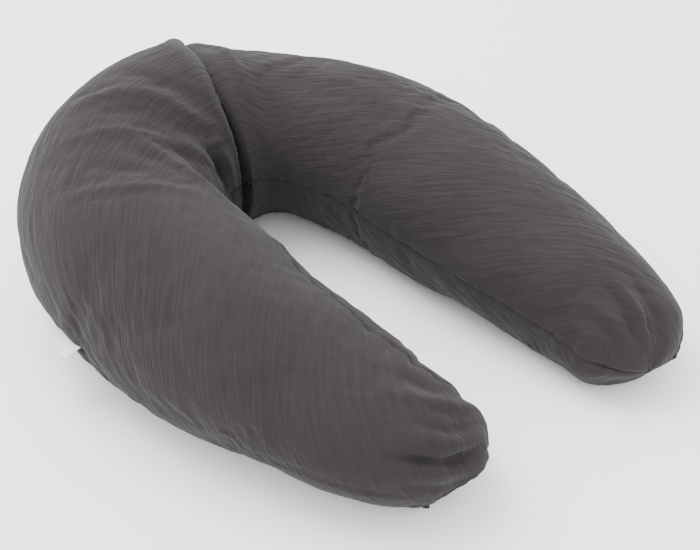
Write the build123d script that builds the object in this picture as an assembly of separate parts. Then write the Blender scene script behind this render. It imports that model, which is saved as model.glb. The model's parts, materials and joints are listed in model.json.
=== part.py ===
"""Long C-shaped nursing pillow: a zipped cloth cover on a sewn inner bag of polystyrene beads.

Millimetres. The pillow is drawn in a working frame whose origin is the middle of its fold, with
+X along the pillow towards the right arm, +Y out of the back and +Z up. Every piece is then
turned and moved once, into the row frame: origin at the bottom centre, arms opening to -Y.
"""
import os
from math import asin, cos, degrees, pi, radians, sin

from build123d import *

os.makedirs("parts", exist_ok=True)

# ---- Plan: tangent arcs (length, radius) from the fold to each tip, all turning inward ----
BACK_RADIUS = 165
LEFT_ARCS = [(310, BACK_RADIUS), (260, 2150), (140, 245)]
RIGHT_ARCS = [(150, BACK_RADIUS), (160, 405), (240, 2080), (120, 340)]
FOLD_GAP = 3            # clear space between the two halves at the fold
FRAME_TURN = -17        # turns the working frame so that the arms open to -Y

# ---- Cross section: an ellipse that narrows towards the tips and is flat where it rests ----
HALF_WIDTH_TIP, HALF_WIDTH_MID, WIDTH_TAPER = 59.5, 117.0, 420
WIDTH_FULLNESS = 2.5        # how quickly the width grows from the tip
HEIGHT_TIP, HEIGHT_MID, HEIGHT_TAPER = 98.0, 222.0, 560
RIGHT_SLIMMER, RIGHT_LOWER = 5.0, 5.0   # the right arm is this much slimmer and lower
SLIM_REACH = 100            # the difference sets in over this distance from the fold
LOBE_RISE = 26.0            # the left half is pushed up beside the fold
LOBE_START, LOBE_END = 80, 260
HALF_HEIGHT_SHARE = 0.52    # half height of the ellipse, as a share of the pillow's height
CENTRE_SHARE = 0.46         # height of its centre; the rest is cut off flat by the ground
FOOT_DEPTH = 0.4            # sections reach this far below the ground before they are cut
TIP_LENGTH = 39             # length of the rounded end
TIP_ANGLES = (16, 36, 60)   # stations around the rounded end, in degrees
FOLD_DEPTH, FOLD_REACH = 28, 60   # how far the fold draws the surface in, and from how far away
STATION_PITCH = 42
FIRST_STATION_SHARE = 0.4   # an extra station close to the fold, as a share of the pitch
ROOM = (3000, 3000, 1000)   # block above the ground that holds the whole pillow

# ---- The cover's seam, as its turn about the pillow's centreline ----
LEFT_ROLL, LEFT_ROLL_START, LEFT_ROLL_LENGTH = 45, 210, 350
RIGHT_ROLL, RIGHT_ROLL_START, RIGHT_ROLL_LENGTH = 8, 380, 250

SEAM_REACH, SEAM_BLOCK_HEIGHT, SEAM_OVERRUN = 130, 190, 15

# ---- Cloth and filling ----
COVER_THICKNESS = 2.0
LAYER_GAP = 1.0
BAG_THICKNESS = 1.2

# ---- Zip, along the outside of the back: distances from the fold along the centreline ----
ZIP_START, ZIP_END = 62, 262
ZIP_HEIGHT = CENTRE_SHARE * HEIGHT_MID
ZIP_RADIUS = BACK_RADIUS + HALF_WIDTH_MID
ZIP_OPENING = 10.4          # between the edges of the two cover panels
ZIP_END_MARGIN = 6          # opening beyond the coils at each end
TAPE_OVERRUN = 5            # tape beyond the opening at each end
TAPE_WIDTH, TAPE_THICKNESS = 11.5, 0.6
TAPE_DEPTH = 3.9            # outer face of the tapes below the cover's surface
COIL_WIDTH, COIL_HEIGHT = 2.5, 2.2
HALF_TRACK = 0.5            # half the space between the two coils, for the slider's post
POCKET_DEPTH = 6.8          # the inner bag stands back this far behind the zip
POCKET_HALF_HEIGHT = 16
POCKET_OVERRUN = 8          # and this far beyond both ends of the opening
CUT_MARGIN = 5              # how far the cuts for the zip run past the surfaces
STOP_LENGTH = 3.0

# ---- Zip slider and its pull tab ----
SLIDER_LENGTH, SLIDER_WIDTH = 12, 9
PLATE_THICKNESS = 1.0
SLIDER_CLEARANCE = 0.2
SLIDER_END_GAP = 1          # between the slider and the stops
LIP_WIDTH = 1.2
POST_LENGTH, POST_WIDTH = 4, 0.7
CROWN_LENGTH, CROWN_WIDTH, CROWN_HEIGHT = 6.0, 2.4, 3.4
CROWN_WALL, CROWN_ROUNDING = 0.9, 0.8
BAR_LENGTH, BAR_RADIUS = 5.4, 0.55
TAB_LENGTH, TAB_WIDTH, TAB_THICKNESS = 24, 7, 1.1
TAB_HEEL = 1                # cut square off the rounded end, where the bar is
EYE_LENGTH, EYE_WIDTH = 4.2, 3.2

# ---- Labels sewn into the seam ----
BRAND_LABEL = (46, 16, 1.2)        # along the seam, out of it, thickness
BRAND_LABEL_PLACE = 300            # centre, from the fold along the centreline
CARE_LABEL = (28, 42, 0.4)         # along the seam, hanging down, thickness
CARE_LABEL_PLACE = 190
LABEL_STANDOFF = 0.8               # clear of the cover's surface

REST_PLACE = 200            # where the record places the face that the pillow rests on


def path_point(arcs, distance):
    """Point and turned angle after a distance along tangent arcs that start along +X."""
    x = y = turned = 0.0
    for length, radius in arcs:
        step = min(distance, length)
        angle = step / radius
        x += radius * (sin(turned + angle) - sin(turned))
        y += radius * (cos(turned + angle) - cos(turned))
        turned += angle
        distance -= step
    return x, y, turned


def section_plane(side, distance, drawn_side=1):
    """Upright plane across the pillow: local X points inward, local Y up.

    Both halves are drawn on the right, and the left one is mirrored once it is solid;
    drawn_side -1 gives the plane where the left half really lies.
    """
    arcs = RIGHT_ARCS if side > 0 else LEFT_ARCS
    x, y, turned = path_point(arcs, distance)
    inward = Vector(-drawn_side * sin(turned), -cos(turned), 0)
    origin = Vector(drawn_side * (FOLD_GAP / 2 + x), y, 0)
    return Plane(origin=origin, x_dir=inward, z_dir=inward.cross(Vector(0, 0, 1)))


def half_length(side):
    return sum(length for length, _ in (RIGHT_ARCS if side > 0 else LEFT_ARCS))


def ease(value, start, end):
    """0 up to start, 1 from end on, smooth in between."""
    share = min(1.0, max(0.0, (value - start) / (end - start)))
    return share * share * (3 - 2 * share)


def half_width(side, distance):
    rest = max(0.0, 1 - (half_length(side) - distance) / WIDTH_TAPER)
    middle = HALF_WIDTH_MID
    if side > 0:
        middle -= RIGHT_SLIMMER * ease(distance, 0, SLIM_REACH)
    return HALF_WIDTH_TIP + (middle - HALF_WIDTH_TIP) * (1 - rest**WIDTH_FULLNESS)


def height(side, distance):
    share = sin(pi / 2 * min(1.0, (half_length(side) - distance) / HEIGHT_TAPER))
    middle = HEIGHT_MID
    if side > 0:
        middle -= RIGHT_LOWER * ease(distance, 0, SLIM_REACH)
    return HEIGHT_TIP + (middle - HEIGHT_TIP) * share


def lobe(side, distance):
    """How far the left half rises beside the fold."""
    return 0.0 if side > 0 else LOBE_RISE * (1 - ease(distance, LOBE_START, LOBE_END))


def seam_roll(side, distance):
    """Degrees by which the seam on the inner side stands above the widest line."""
    roll, start, length = LEFT_ROLL, LEFT_ROLL_START, LEFT_ROLL_LENGTH
    if side > 0:
        roll, start, length = RIGHT_ROLL, RIGHT_ROLL_START, RIGHT_ROLL_LENGTH
    return roll * min(1.0, max(0.0, (distance - start) / length))


def ellipse_at(side, distance, inset, end_angle=90):
    """Centre and radii of the section, drawn in by inset; end_angle rounds off the tip."""
    fold = FOLD_DEPTH * max(0.0, 1 - distance / FOLD_REACH) ** 2
    rounding = sin(radians(end_angle))
    tall = height(side, distance)
    wide = (half_width(side, distance) - fold - inset) * rounding
    high = (HALF_HEIGHT_SHARE * tall + lobe(side, distance) - fold - inset) * rounding
    centre_height = (CENTRE_SHARE * tall - fold - inset) * rounding + inset
    return (-fold, centre_height), wide, high


def section(side, distance, inset, end_angle=90):
    """One face across the pillow: an ellipse with a straight foot just below the ground."""
    centre, wide, high = ellipse_at(side, distance, inset, end_angle)
    foot_angle = degrees(asin((centre[1] - inset + FOOT_DEPTH) / high))
    arc = EllipticalCenterArc(centre, wide, high, -foot_angle, arc_size=180 + 2 * foot_angle)
    return section_plane(side, distance) * make_face([arc, Line(arc @ 1, arc @ 0)])


def on_its_side(side, solid):
    """The solid where it belongs: the left half is the mirror image of what was drawn."""
    return solid if side > 0 else mirror(solid, about=Plane.YZ)


def pillow_half(side, inset):
    """Solid of one half of the pillow, its surface drawn in by inset, flat on the ground."""
    body = half_length(side) - TIP_LENGTH
    count = round(body / STATION_PITCH)
    faces = [section(side, body * i / count, inset) for i in range(count + 1)]
    faces.insert(1, section(side, STATION_PITCH * FIRST_STATION_SHARE, inset))
    for angle in reversed(TIP_ANGLES):
        faces.append(section(side, body + (TIP_LENGTH - inset) * cos(radians(angle)), inset, angle))
    above_ground = Pos(0, 0, inset) * Box(*ROOM, align=(Align.CENTER, Align.CENTER, Align.MIN))
    return on_its_side(side, loft(faces) & above_ground)


def above_seam(side):
    """Block whose lower face runs through the seam, turned about the pillow's centreline."""
    length = half_length(side)
    count = round(length / STATION_PITCH)
    block = Rectangle(2 * SEAM_REACH, SEAM_BLOCK_HEIGHT, align=(Align.CENTER, Align.MIN))
    stations = [(0, SEAM_OVERRUN)]
    stations += [(length * i / count, 0) for i in range(count + 1)]
    stations.append((length, -SEAM_OVERRUN))
    faces = []
    for distance, overrun in stations:
        centre, _, _ = ellipse_at(side, distance, 0)
        turned = Pos(*centre, overrun) * Rot(0, 0, seam_roll(side, distance)) * block
        faces.append(section_plane(side, distance) * turned)
    return on_its_side(side, loft(faces, ruled=True))


def back_sector(depth_out, depth_in, low, high, start, end):
    """Band along the outside of the back, between two depths, heights and distances."""
    outer, inner = ZIP_RADIUS - depth_out, ZIP_RADIUS - depth_in
    first = 90 + degrees(start / BACK_RADIUS)
    sweep = degrees((end - start) / BACK_RADIUS)
    far, near = CenterArc((0, 0), outer, first, sweep), CenterArc((0, 0), inner, first, sweep)
    face = make_face([far, near, Line(far @ 0, near @ 0), Line(far @ 1, near @ 1)])
    return Pos(-FOLD_GAP / 2, -BACK_RADIUS, low) * extrude(face, high - low)


def outside_length(millimetres):
    """A length along the zip, as the distance along the centreline that spans it."""
    return millimetres * BACK_RADIUS / ZIP_RADIUS


def zip_band(depth_out, depth_in, low, high, start=ZIP_START, end=ZIP_END):
    """Band as in back_sector, with heights counted from the zip's middle line."""
    return back_sector(depth_out, depth_in, ZIP_HEIGHT + low, ZIP_HEIGHT + high, start, end)


def back_plane(distance, depth=0.0):
    """Plane on the back: local X along the zip away from the fold, local Y up, local Z out."""
    angle = radians(90) + distance / BACK_RADIUS
    out = Vector(cos(angle), sin(angle), 0)
    centre = Vector(-FOLD_GAP / 2, -BACK_RADIUS, ZIP_HEIGHT)
    return Plane(origin=centre + out * (ZIP_RADIUS - depth), x_dir=Vector(0, 0, 1).cross(out), z_dir=out)


def make_layers(side):
    """Cover panels, inner bag panels and bead filling of one half."""
    bag_inset = COVER_THICKNESS + LAYER_GAP
    upper_block = above_seam(side)
    cover = pillow_half(side, 0) - pillow_half(side, COVER_THICKNESS)
    bag = pillow_half(side, bag_inset)
    fill = pillow_half(side, bag_inset + BAG_THICKNESS)
    if side < 0:
        half_slot = ZIP_OPENING / 2
        pocket_ends = ZIP_START - POCKET_OVERRUN, ZIP_END + POCKET_OVERRUN
        deep_ends = pocket_ends[0] - BAG_THICKNESS, pocket_ends[1] + BAG_THICKNESS
        deep_half_height = POCKET_HALF_HEIGHT + BAG_THICKNESS
        deep = POCKET_DEPTH + BAG_THICKNESS
        cover -= zip_band(-CUT_MARGIN, COVER_THICKNESS + CUT_MARGIN, -half_slot, half_slot)
        bag -= zip_band(-CUT_MARGIN, POCKET_DEPTH, -POCKET_HALF_HEIGHT, POCKET_HALF_HEIGHT, *pocket_ends)
        fill -= zip_band(-CUT_MARGIN, deep, -deep_half_height, deep_half_height, *deep_ends)
    bag -= fill
    name = "right" if side > 0 else "left"
    return {
        f"cover_top_{name}": cover & upper_block,
        f"cover_bottom_{name}": cover - upper_block,
        f"inner_bag_top_{name}": bag & upper_block,
        f"inner_bag_bottom_{name}": bag - upper_block,
        f"bead_fill_{name}": fill,
    }


def make_zip():
    """Two tapes with their coils, and the stops at both ends."""
    tape_back = TAPE_DEPTH + TAPE_THICKNESS
    tape_ends = ZIP_START - TAPE_OVERRUN, ZIP_END + TAPE_OVERRUN
    coil_ends = ZIP_START + ZIP_END_MARGIN, ZIP_END - ZIP_END_MARGIN
    coil_out = TAPE_DEPTH - COIL_HEIGHT
    coil_far = HALF_TRACK + COIL_WIDTH
    stop = outside_length(STOP_LENGTH)
    pieces = {}
    for name, sign in (("upper", 1), ("lower", -1)):
        tape = sorted((sign * HALF_TRACK, sign * (HALF_TRACK + TAPE_WIDTH)))
        coil = sorted((sign * HALF_TRACK, sign * coil_far))
        pieces[f"zip_tape_{name}"] = zip_band(TAPE_DEPTH, tape_back, *tape, *tape_ends)
        pieces[f"zip_coil_{name}"] = zip_band(coil_out, TAPE_DEPTH, *coil, *coil_ends)
        top_stop = zip_band(coil_out, TAPE_DEPTH, *coil, coil_ends[0] - stop, coil_ends[0])
        pieces[f"zip_top_stop_{name}"] = top_stop
    bottom_stop = zip_band(coil_out, TAPE_DEPTH, -coil_far, coil_far, coil_ends[1], coil_ends[1] + stop)
    pieces["zip_bottom_stop"] = bottom_stop
    return pieces


def slider_place():
    """Distance of the slider's middle from the fold when the zip is shut."""
    return ZIP_START + ZIP_END_MARGIN + outside_length(SLIDER_LENGTH / 2 + SLIDER_END_GAP)


def crown_plane():
    """Plane through the middle of the slider's outer face."""
    return back_plane(slider_place(), TAPE_DEPTH - COIL_HEIGHT - SLIDER_CLEARANCE - PLATE_THICKNESS)


def make_slider():
    """Two plates joined by a post that runs between the coils, with lips and a crown."""
    outward = Align.CENTER, Align.CENTER, Align.MIN
    inward = Align.CENTER, Align.CENTER, Align.MAX
    depth = 2 * PLATE_THICKNESS + 2 * SLIDER_CLEARANCE + COIL_HEIGHT + TAPE_THICKNESS
    plate = Box(SLIDER_LENGTH, SLIDER_WIDTH, PLATE_THICKNESS, align=inward)
    post = Box(POST_LENGTH, POST_WIDTH, depth, align=inward)
    lip = Box(SLIDER_LENGTH, LIP_WIDTH, PLATE_THICKNESS + COIL_HEIGHT, align=inward)
    lip_place = (SLIDER_WIDTH - LIP_WIDTH) / 2
    body = plate + Pos(0, 0, PLATE_THICKNESS - depth) * plate
    body += Pos((POST_LENGTH - SLIDER_LENGTH) / 2, 0, 0) * post
    body += Pos(0, lip_place, 0) * lip
    body += Pos(0, -lip_place, 0) * lip
    arch = Box(CROWN_LENGTH, CROWN_WIDTH, CROWN_HEIGHT, align=outward)
    arch = fillet(arch.edges().filter_by(Axis.Y).group_by(Axis.Z)[-1], CROWN_ROUNDING)
    passage = Box(CROWN_LENGTH - 2 * CROWN_WALL, CROWN_WIDTH, CROWN_HEIGHT - CROWN_WALL, align=outward)
    return crown_plane() * (body + (arch - passage))


def bar_height():
    """Height of the pull tab's bar above the slider's outer face."""
    return (CROWN_HEIGHT - CROWN_WALL) / 2


def make_pull_tab():
    """Flat tab with an eye; the bar across the end of the eye runs under the crown."""
    tab = SlotOverall(TAB_LENGTH, TAB_WIDTH)
    tab = Pos(TAB_LENGTH / 2 - TAB_HEEL, 0) * tab
    eye = Pos(EYE_LENGTH / 2, 0) * Rectangle(EYE_LENGTH, EYE_WIDTH)
    ahead = Rectangle(TAB_LENGTH, TAB_WIDTH, align=(Align.MIN, Align.CENTER))
    outline = (tab & ahead) - eye
    plate = Pos(0, 0, -TAB_THICKNESS / 2) * extrude(outline, TAB_THICKNESS)
    bar = Rot(90, 0, 0) * Cylinder(BAR_RADIUS, BAR_LENGTH)
    return crown_plane() * Pos(0, 0, bar_height()) * (plate + bar)


def make_brand_label():
    """Folded woven label, left blank, that stands out of the seam on the left."""
    length, reach, thickness = BRAND_LABEL
    plane = section_plane(-1, BRAND_LABEL_PLACE, -1)
    centre, wide, high = ellipse_at(-1, BRAND_LABEL_PLACE, 0)
    angle = radians(180 + seam_roll(-1, BRAND_LABEL_PLACE))
    seam = (centre[0] + wide * cos(angle), centre[1] + high * sin(angle))
    normal = degrees(pi + asin(sin(radians(seam_roll(-1, BRAND_LABEL_PLACE)))))
    blank = Box(reach, thickness, length, align=(Align.MIN, Align.CENTER, Align.CENTER))
    return plane * Pos(*seam, 0) * Rot(0, 0, normal) * Pos(LABEL_STANDOFF, 0, 0) * blank


def make_care_label():
    """Care label, left blank, that hangs down from the seam below the zip."""
    length, drop, thickness = CARE_LABEL
    hang = back_plane(CARE_LABEL_PLACE, -LABEL_STANDOFF)
    blank = Box(length, drop, thickness, align=(Align.CENTER, Align.MAX, Align.MIN))
    return hang * Pos(0, -ZIP_OPENING / 2, 0) * blank


def main():
    pieces = make_layers(-1) | make_layers(1) | make_zip()
    pieces["zip_slider"] = make_slider()
    pieces["zip_pull_tab"] = make_pull_tab()
    pieces["brand_label"] = make_brand_label()
    pieces["care_label"] = make_care_label()

    turn = Rot(0, 0, FRAME_TURN)
    middle = Compound(children=[turn * piece for piece in pieces.values()]).bounding_box().center()
    to_row = Pos(-middle.X, -middle.Y, 0) * turn
    for name, piece in pieces.items():
        export_step(to_row * piece, f"parts/{name}.step")

    arc_centre = Vector(-FOLD_GAP / 2, -BACK_RADIUS, ZIP_HEIGHT)
    bar = (crown_plane() * Pos(0, 0, bar_height())).position
    rest = section_plane(-1, REST_PLACE, -1).origin
    points = {
        "fold hinge": Vector(0, HALF_WIDTH_MID, ZIP_HEIGHT),
        "zip arc centre": arc_centre,
        "pull tab bar": bar,
        "resting face": rest,
        "fold middle": Vector(0, 0, 0),
    }
    for name, point in points.items():
        placed = (to_row * Pos(*point)).position / 1000
        print(f"{name}: {placed.X:.5f}, {placed.Y:.5f}, {placed.Z:.5f} m")
    last_place = ZIP_END - ZIP_END_MARGIN - outside_length(SLIDER_LENGTH / 2 + SLIDER_END_GAP)
    print(f"slider travel: {degrees((last_place - slider_place()) / BACK_RADIUS):.2f} degrees")


main()
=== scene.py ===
"""Looks of the nursing pillow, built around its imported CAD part. Metres, the part's own frame."""
import json
import math

import bpy
import numpy as np
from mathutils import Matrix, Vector


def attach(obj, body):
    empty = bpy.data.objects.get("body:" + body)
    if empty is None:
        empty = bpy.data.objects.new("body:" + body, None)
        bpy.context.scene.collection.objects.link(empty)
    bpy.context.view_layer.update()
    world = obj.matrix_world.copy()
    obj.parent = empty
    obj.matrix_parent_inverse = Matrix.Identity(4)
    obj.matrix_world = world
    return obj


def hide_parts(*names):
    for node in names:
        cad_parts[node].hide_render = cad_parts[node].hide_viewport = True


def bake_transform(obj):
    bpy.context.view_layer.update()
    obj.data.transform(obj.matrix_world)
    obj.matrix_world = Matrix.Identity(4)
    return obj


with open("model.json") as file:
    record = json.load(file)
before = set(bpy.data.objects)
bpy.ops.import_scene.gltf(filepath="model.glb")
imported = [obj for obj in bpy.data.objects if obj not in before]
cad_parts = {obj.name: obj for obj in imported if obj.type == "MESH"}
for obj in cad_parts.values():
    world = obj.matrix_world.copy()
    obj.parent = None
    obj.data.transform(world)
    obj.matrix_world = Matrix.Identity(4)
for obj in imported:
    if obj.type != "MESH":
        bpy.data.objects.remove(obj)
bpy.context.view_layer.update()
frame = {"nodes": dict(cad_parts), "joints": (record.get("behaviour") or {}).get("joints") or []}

JOINTS = {joint["name"]: joint for joint in frame["joints"]}
HINGE = np.array(JOINTS["fold_hinge"]["pos_m"])
ZIP_CENTRE = np.array(JOINTS["zip_travel"]["pos_m"])

# ---- The CAD part's driving dimensions, in metres ----
BACK_RADIUS = 0.165
ARCS = {
    -1: [(0.310, BACK_RADIUS), (0.260, 2.150), (0.140, 0.245)],
    1: [(0.150, BACK_RADIUS), (0.160, 0.405), (0.240, 2.080), (0.120, 0.340)],
}
FOLD_GAP = 0.003
FRAME_TURN = math.radians(-17)
HALF_WIDTH_TIP, HALF_WIDTH_MID, WIDTH_TAPER = 0.0595, 0.117, 0.420
WIDTH_FULLNESS = 2.5        # above 2 the width stays full for longer
HEIGHT_TIP, HEIGHT_MID, HEIGHT_TAPER = 0.098, 0.222, 0.560
RIGHT_SLIMMER, RIGHT_LOWER, SLIM_REACH = 0.005, 0.005, 0.100
LOBE_RISE, LOBE_START, LOBE_END = 0.026, 0.080, 0.260
HALF_HEIGHT_SHARE, CENTRE_SHARE = 0.52, 0.46
TIP_LENGTH = 0.039
# the seams turn about the arms: degrees, the distance where that starts, and over what length
ROLL = {-1: (45, 0.210, 0.350), 1: (8, 0.380, 0.250)}
ZIP_START, ZIP_END = 0.062, 0.262
ZIP_RADIUS = BACK_RADIUS + HALF_WIDTH_MID
ZIP_OPENING = 0.0104

# ---- Shape of the cloth ----
# the cloth is cut for a pillow that is bent less, so the inside of the bend has cloth to spare
PATTERN_ARCS = {
    -1: [(0.310, 0.190), (0.260, 2.150), (0.140, 0.245)],
    1: [(0.150, 0.190), (0.160, 0.405), (0.240, 2.080), (0.120, 0.340)],
}
COLUMNS = 36                # cells across one panel
BACK_PITCH, ARM_PITCH = 0.0075, 0.0105
ARM_START = 0.31            # distance from the fold where the cells get longer
NEAR_FOLD = (0, 0.0012, 0.003, 0.0055, 0.009, 0.0135, 0.019)
CAP_ROWS = 8
FINE = 4                    # each cell is divided this often for the final surface
# the fold draws the cloth in this far, and from this far away: on the inner side, and on top
FOLD_DEPTH = {-1: (0.012, 0.028), 1: (0.007, 0.002)}
FOLD_REACH = {-1: (0.030, 0.045), 1: (0.016, 0.012)}
# each tip: its underside stands back this far, its seam stands out this far, and it is raised
TIP_TUCK = {-1: 0.029, 1: 0.008}
TIP_LIP = {-1: 0.006, 1: 0.004}
TIP_RISE = {-1: 0.012, 1: 0.0}
FLOOR_GAP = 0.0005          # between the floor and the cloth that rests on it
SIM_FRAMES = 30
SIM_REACH = 0.014           # the simulation moves no point further than this
CRINKLE_HEIGHT = 0.0009
SEAM_GROOVE, SEAM_GROOVE_REACH = 0.0022, 0.0028
COVER_ALLOWANCE, BAG_ALLOWANCE = 0.0032, 0.001      # cloth turned in at the seams

# ---- Camera and light ----
CAMERA_AZIMUTH, CAMERA_ELEVATION = -47.64, 40.30
CAMERA_DISTANCE = 1.2213
CAMERA_TARGET = (0.0643, 0.0111, 0.0)
LENS, SENSOR = 50.0, 36.0

LATTICE = np.random.RandomState(7).rand(256, 256) * 2 - 1


def smooth(x, low, high):
    """0 below low, 1 above high, smooth in between."""
    t = np.clip((x - low) / (high - low), 0, 1)
    return t * t * (3 - 2 * t)


def noise(x, y, seed=0):
    """Smooth value noise, -1 to 1, one cell per unit."""
    x, y = x + 37.3 * seed, y + 91.7 * seed
    cell_x, cell_y = np.floor(x).astype(int), np.floor(y).astype(int)
    part_x, part_y = x - cell_x, y - cell_y
    part_x = part_x * part_x * (3 - 2 * part_x)
    part_y = part_y * part_y * (3 - 2 * part_y)
    a = LATTICE[cell_x % 256, cell_y % 256]
    b = LATTICE[(cell_x + 1) % 256, cell_y % 256]
    c = LATTICE[cell_x % 256, (cell_y + 1) % 256]
    d = LATTICE[(cell_x + 1) % 256, (cell_y + 1) % 256]
    low = a + (b - a) * part_x
    return low + (c + (d - c) * part_x - low) * part_y


# =====================================================================================
# The pillow's shape: a point for a distance along it and an angle around it
# =====================================================================================
def path_point(arcs, distance):
    """Point and turned angle after a distance along tangent arcs."""
    x, y, turned = np.zeros_like(distance), np.zeros_like(distance), np.zeros_like(distance)
    left = distance.copy()
    for number, (length, radius) in enumerate(arcs):
        last = number == len(arcs) - 1
        step = left if last else np.minimum(left, length)
        angle = step / radius
        x += radius * (np.sin(turned + angle) - np.sin(turned))
        y += radius * (np.cos(turned + angle) - np.cos(turned))
        turned += angle
        left = left - step
    return x, y, turned


def half_length(side):
    return sum(length for length, _ in ARCS[side])


def to_tip(distance):
    """Distance from the tip of the half that each point is on."""
    return np.where(distance < 0, half_length(-1), half_length(1)) - np.abs(distance)


def half_width(side, distance):
    rest = np.maximum(0.0, 1 - (half_length(side) - distance) / WIDTH_TAPER)
    middle = HALF_WIDTH_MID - (RIGHT_SLIMMER * smooth(distance, 0, SLIM_REACH) if side > 0 else 0)
    return HALF_WIDTH_TIP + (middle - HALF_WIDTH_TIP) * (1 - rest**WIDTH_FULLNESS)


def height(side, distance):
    share = np.sin(math.pi / 2 * np.minimum(1.0, (half_length(side) - distance) / HEIGHT_TAPER))
    middle = HEIGHT_MID - (RIGHT_LOWER * smooth(distance, 0, SLIM_REACH) if side > 0 else 0)
    return HEIGHT_TIP + (middle - HEIGHT_TIP) * share


def lobe(side, distance):
    """How far the left half rises beside the fold."""
    return (side < 0) * LOBE_RISE * (1 - smooth(distance, LOBE_START, LOBE_END))


def seam_roll(side, distance):
    roll, start, length = ROLL[side]
    return np.radians(roll) * np.clip((distance - start) / length, 0, 1)


def placed(side, distance, across, up, arcs=None):
    """Point in the part's frame, from inward and upward coordinates in a section."""
    x, y, turned = path_point(arcs or ARCS[side], distance)
    inward_x, inward_y = -side * np.sin(turned), -np.cos(turned)
    work_x = side * (FOLD_GAP / 2 + x) + inward_x * across
    work_y = y + inward_y * across
    cos_turn, sin_turn = math.cos(FRAME_TURN), math.sin(FRAME_TURN)
    middle_x = HINGE[0] + HALF_WIDTH_MID * sin_turn
    middle_y = HINGE[1] - HALF_WIDTH_MID * cos_turn
    row_x = middle_x + cos_turn * work_x - sin_turn * work_y
    row_y = middle_y + sin_turn * work_x + cos_turn * work_y
    return np.stack([row_x, row_y, up], axis=-1)


def stations(side):
    """Distances of the rows between the fold and the rounded end."""
    body = half_length(side) - TIP_LENGTH
    start = NEAR_FOLD[-1]
    back = np.linspace(start, ARM_START, round((ARM_START - start) / BACK_PITCH) + 1)
    arm = np.linspace(ARM_START, body, round((body - ARM_START) / ARM_PITCH) + 1)
    return np.concatenate([NEAR_FOLD, back[1:], arm[1:]])


def fold_profile(side, distance, angle):
    """How far the fold draws the surface in: most at the fold, nothing beyond its reach, round
    like the shoulder of a fold. It is faint and narrow on the outside of the back."""
    upward, outward = smooth(np.sin(angle), 0.2, 0.9), smooth(-np.cos(angle), -0.3, 0.9)
    inner_depth, top_depth = FOLD_DEPTH[side]
    inner_reach, top_reach = FOLD_REACH[side]
    depth = (inner_depth + (top_depth - inner_depth) * upward) * (1 - 0.85 * outward)
    reach = (inner_reach + (top_reach - inner_reach) * upward) * (1 - 0.80 * outward)
    x = np.clip(1 - distance / reach, 0, 1)
    return depth * (1 - np.sqrt(1 - x**2))


def half_panel(side, top, arcs=None):
    """Points of one panel of one half, rows from the fold to the tip and columns from the
    outer seam to the inner seam, with each point's distance, angle and seam coordinate."""
    plain = stations(side)
    cap = np.linspace(0, 1, CAP_ROWS + 1)[1:]
    body = half_length(side) - TIP_LENGTH
    b = np.linspace(-1, 1, COLUMNS + 1)[None, :]
    a = np.concatenate([np.zeros_like(plain), cap])[:, None]
    p = a * np.sqrt(1 - b**2 / 2)
    q = b * np.sqrt(1 - a**2 / 2)
    r = np.sqrt(p**2 + q**2)
    safe = np.maximum(r, 1e-9)
    along = p / safe * np.sin(math.pi / 2 * r)
    cross = q / safe * np.sin(math.pi / 2 * r)
    rise = np.cos(math.pi / 2 * r) * (1 if top else -1)
    distance = np.concatenate([plain, np.full_like(cap, body)])[:, None] + TIP_LENGTH * along
    roll = seam_roll(side, distance)
    plain_angle = np.arctan2(rise, cross)
    fold = fold_profile(side, distance, plain_angle)
    wide = half_width(side, distance) - fold
    high = HALF_HEIGHT_SHARE * height(side, distance) + lobe(side, distance) * (rise > 0) - fold
    phi = np.arctan2(np.sin(roll) / high, np.cos(roll) / wide)
    turned_cross = cross * np.cos(phi) - rise * np.sin(phi)
    turned_rise = cross * np.sin(phi) + rise * np.cos(phi)
    centre = CENTRE_SHARE * height(side, distance) - fold
    centre = centre + TIP_RISE[side] * smooth(along, 0.4, 1.0)
    tuck = TIP_TUCK[side] * along * smooth(-turned_rise, 0.05, 0.55)
    tuck = tuck - TIP_LIP[side] * smooth(along, 0.5, 1.0) * smooth(turned_rise, -0.25, 0.05)
    across = wide * turned_cross - fold
    up = np.maximum(centre + high * turned_rise, FLOOR_GAP)
    points = placed(side, distance - tuck, across, up, arcs)
    return points, distance, np.arctan2(turned_rise, turned_cross), np.broadcast_to(q, r.shape)


def whole_panel(top, arcs=None):
    """One panel, rows from the left tip to the right tip; distances are negative on the left."""
    left = half_panel(-1, top, arcs and arcs[-1])
    right = half_panel(1, top, arcs and arcs[1])
    points, distance, angle, cross = (np.concatenate([a[::-1], b]) for a, b in zip(left, right))
    rows_left = len(left[0])
    distance[:rows_left] *= -1
    return points, distance, angle, cross


class Panel:
    """One cover panel as a grid: points and where each lies on the pillow."""

    def __init__(self, name, top):
        self.name, self.top = name, top
        self.points, self.distance, self.angle, self.cross = whole_panel(top)
        self.rest = whole_panel(top, PATTERN_ARCS)[0]


def outward_normals(points, top):
    """Normals of a grid, pointing out of the pillow, weighted by the cells around each point."""
    rising, falling = points[1:, 1:] - points[:-1, :-1], points[:-1, 1:] - points[1:, :-1]
    cell_normal = np.cross(falling, rising)
    normal = np.zeros_like(points)
    for rows in (slice(None, -1), slice(1, None)):
        for columns in (slice(None, -1), slice(1, None)):
            normal[rows, columns] += cell_normal
    return normal if top else -normal


def shared_normals(upper, lower):
    """Unit normals of both panels, equal where the panels meet."""
    both = [outward_normals(upper, True), outward_normals(lower, False)]
    edge = np.zeros(upper.shape[:2], bool)
    edge[0], edge[-1], edge[:, 0], edge[:, -1] = True, True, True, True
    shared = both[0][edge] + both[1][edge]
    for normal in both:
        normal[edge] = shared
        normal /= np.maximum(np.linalg.norm(normal, axis=-1, keepdims=True), 1e-12)
    return both


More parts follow.
